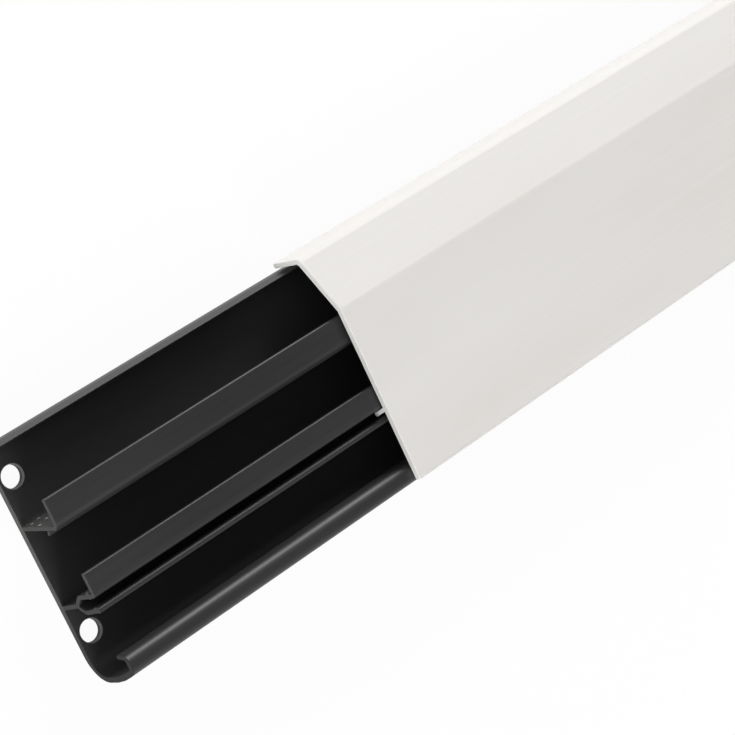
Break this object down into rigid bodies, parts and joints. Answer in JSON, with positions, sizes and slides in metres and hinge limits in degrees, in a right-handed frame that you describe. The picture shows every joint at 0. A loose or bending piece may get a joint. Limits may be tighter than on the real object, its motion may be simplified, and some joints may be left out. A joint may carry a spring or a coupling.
{
  "type": "cord cover raceway",
  "caption": "Straight wall raceway for cords: a black base channel with flanged dividers and screw holes, and an off-white clip-in cover with a lip and a sloping upper face.",
  "frame": {"origin": "middle of the back face, at the bottom centre of the bounding box", "axes": "+X along the length, away from the end where the base shows, +Y across towards the cover's lip, +Z away from the wall"},
  "size_m": [1, 0.055, 0.02],
  "materials": {
    "base_plastic": "satin black rigid vinyl",
    "cover_plastic": "satin off-white rigid vinyl"
  },
  "bodies": {
    "root": {"base_channel": "base_plastic", "snap_cover": "cover_plastic"}
  },
  "joints": []
}
